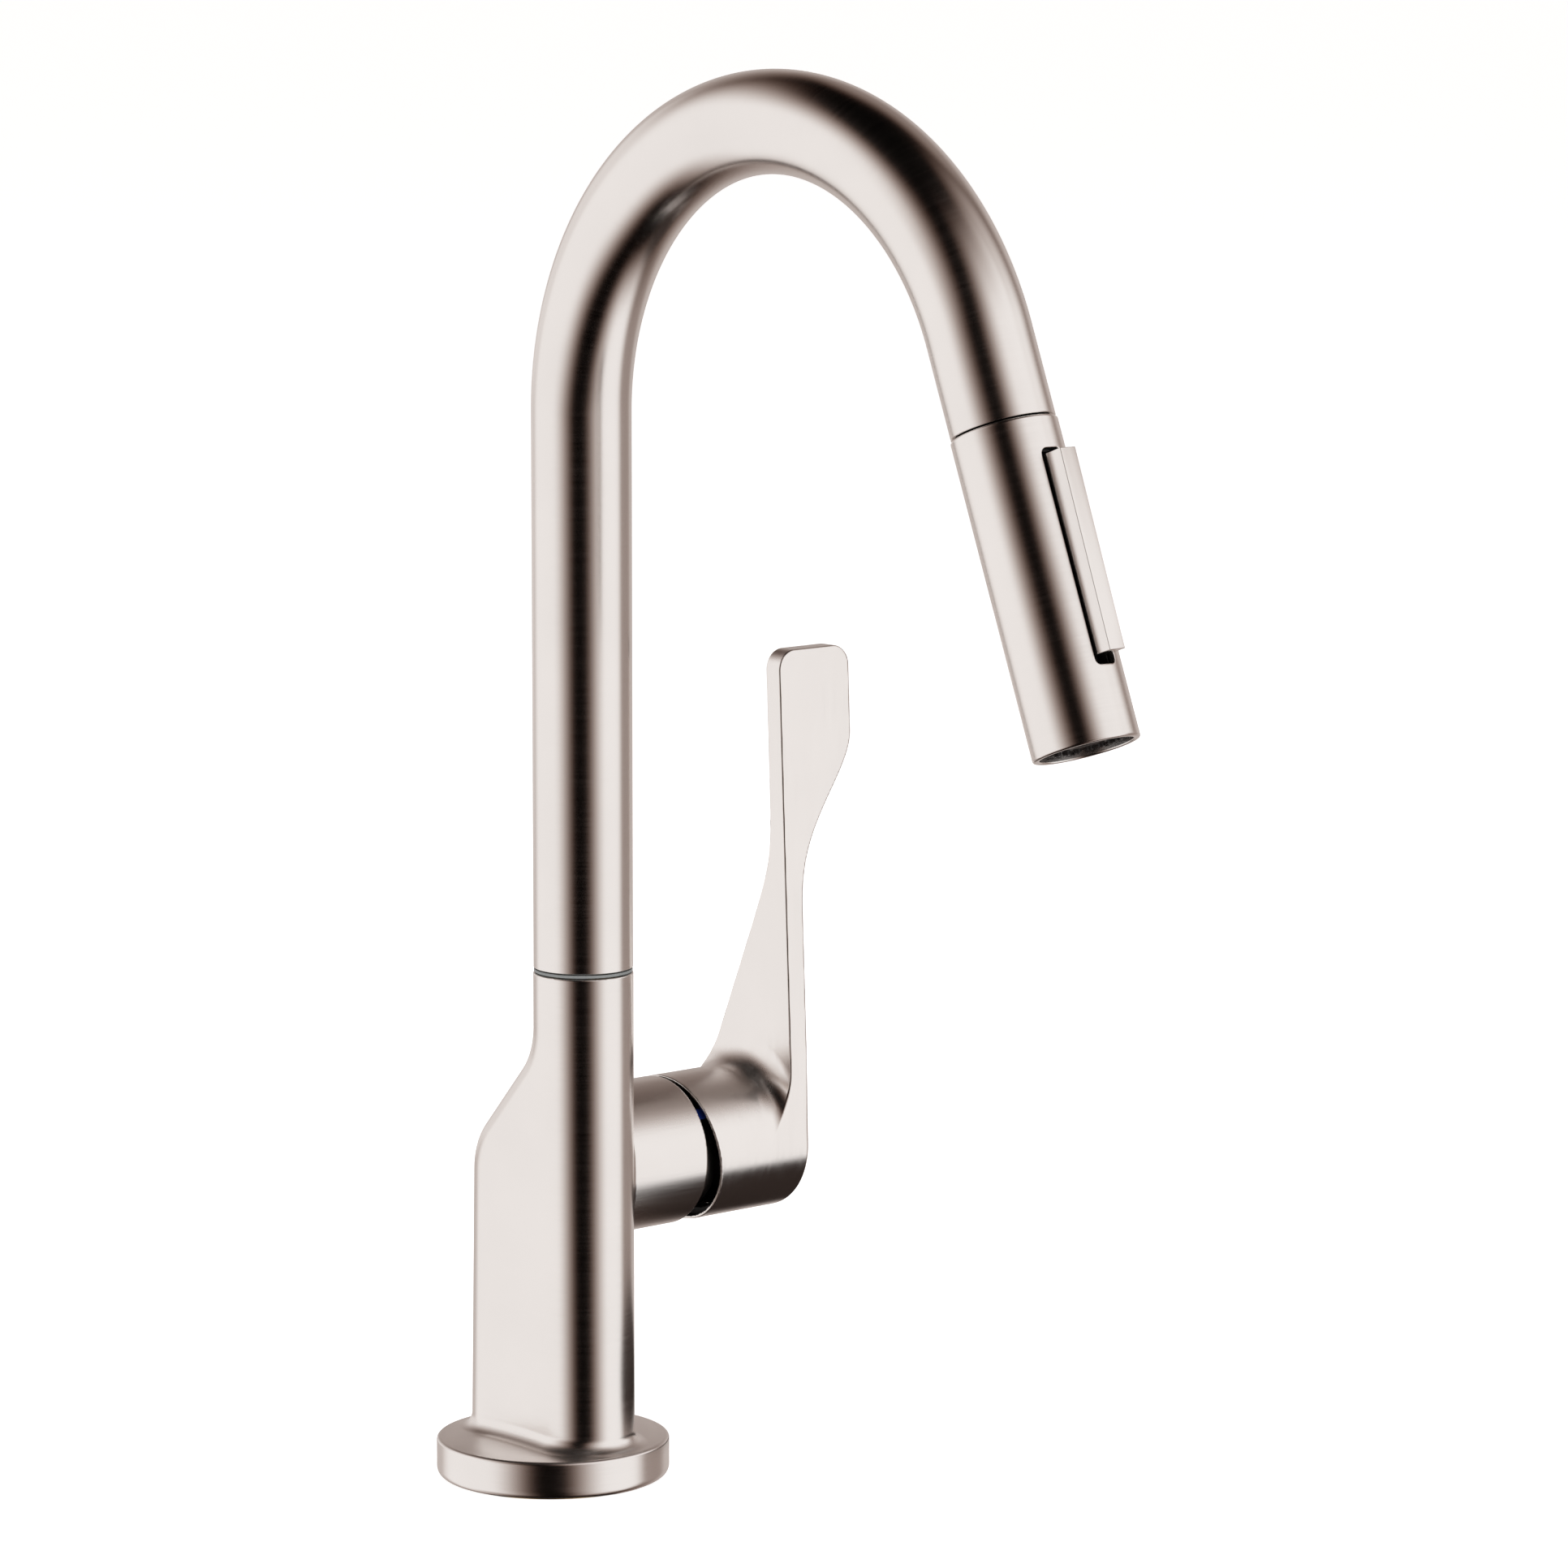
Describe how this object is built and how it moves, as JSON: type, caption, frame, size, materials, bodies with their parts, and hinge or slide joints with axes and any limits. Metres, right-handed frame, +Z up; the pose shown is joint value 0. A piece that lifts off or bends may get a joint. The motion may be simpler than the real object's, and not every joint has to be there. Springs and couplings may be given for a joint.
{
  "type": "pull-down kitchen faucet",
  "caption": "Single-lever kitchen faucet with an arched swivel spout, a side mixing cartridge and a docked pull-down spray head with a rocker selector.",
  "frame": {"origin": "centre of the round base on the deck surface", "axes": "+Z up out of the deck, the spout reaches towards -Y at rest, the lever's hub lies along +X"},
  "size_m": [0.1279, 0.261, 0.4717],
  "materials": {
    "nickel": "warm brushed nickel",
    "brass": "machined",
    "steel": "machined",
    "rubber": "matte",
    "dark_plastic": "moulded",
    "grey_plastic": "moulded",
    "ceramic": "lapped",
    "braid": "woven sleeve",
    "blue": "coloured insert",
    "red": "coloured insert"
  },
  "bodies": {
    "base": {"body_shell": "nickel", "base_gasket": "rubber", "mounting_shank": "brass", "shank_screw_left": "steel", "shank_screw_right": "steel", "friction_washer": "rubber", "clamp_washer": "steel", "mounting_nut": "brass", "swivel_ring": "grey_plastic", "thrust_washer": "grey_plastic", "swivel_stop_screw": "steel", "cartridge_seal": "rubber", "fixed_ceramic_disc": "ceramic", "cartridge_housing": "dark_plastic", "cartridge_cap": "grey_plastic", "cartridge_nut": "brass", "index_ring": "dark_plastic", "cold_mark": "blue", "hot_mark": "red", "hot_inlet_fitting": "brass", "cold_inlet_fitting": "brass", "mixed_outlet_fitting": "brass", "hose_in_body": "braid", "hose_end_connector": "brass"},
    "spout": {"spout_tube": "nickel", "spout_journal": "brass", "upper_o_ring": "rubber", "lower_o_ring": "rubber", "dock_sleeve": "dark_plastic", "dock_magnet": "steel", "hose_in_spout": "braid"},
    "carriage": {"cartridge_carriage": "grey_plastic", "lever_pin": "steel"},
    "handle": {"handle": "nickel", "handle_set_screw": "steel", "set_screw_plug": "grey_plastic", "cartridge_stem": "steel"},
    "disc": {"moving_ceramic_disc": "ceramic", "disc_carrier": "grey_plastic"},
    "hose_end": {"hose_connector": "steel", "connector_o_ring": "rubber"},
    "head": {"head_shell": "nickel", "head_core": "dark_plastic", "rocker_pin": "steel", "dock_ring": "steel", "check_valve": "grey_plastic", "spray_face": "rubber", "aerator": "grey_plastic"},
    "rocker": {"selector_rocker": "nickel"},
    "spool": {"diverter_spool": "grey_plastic"}
  },
  "joints": [
    {"name": "spout_swivel", "type": "hinge", "parent": "base", "child": "spout", "pos_m": [0, -0.0142, 0.148], "axis": [0, 0, 1], "range_deg": [-90, 90]},
    {"name": "temperature", "type": "hinge", "parent": "base", "child": "carriage", "pos_m": [0.044, -0.0005, 0.08876], "axis": [1, 0, 0], "range_deg": [-45, 45]},
    {"name": "flow", "type": "hinge", "parent": "carriage", "child": "handle", "pos_m": [0.044, -0.0005, 0.08876], "axis": [0, 1, 0], "range_deg": [0, 20]},
    {"name": "disc_slide", "type": "slide", "parent": "carriage", "child": "disc", "axis": [0, 0, 1], "range_m": [0, 0.006]},
    {"name": "pull_out", "type": "slide", "parent": "spout", "child": "hose_end", "axis": [0, -0.3644, -0.9312], "range_m": [0, 0.235], "deforming": ["hose_in_spout"]},
    {"name": "head_twist", "type": "hinge", "parent": "hose_end", "child": "head", "pos_m": [0, -0.18336, 0.31172], "axis": [0, -0.3644, -0.9312], "continuous": true},
    {"name": "spray_selector", "type": "hinge", "parent": "head", "child": "rocker", "pos_m": [0.00082, -0.20659, 0.28027], "axis": [-0.9968, -0.0747, 0.0292], "range_deg": [0, 1.92]},
    {"name": "diverter_slide", "type": "slide", "parent": "head", "child": "spool", "axis": [0.0802, -0.9282, 0.3632], "range_m": [0, 0.0006]}
  ],
  "couplings": [
    {"joint": "disc_slide", "follows": "flow", "m_per_rad": 0.017},
    {"joint": "diverter_slide", "follows": "spray_selector", "m_per_rad": 0.01625}
  ]
}
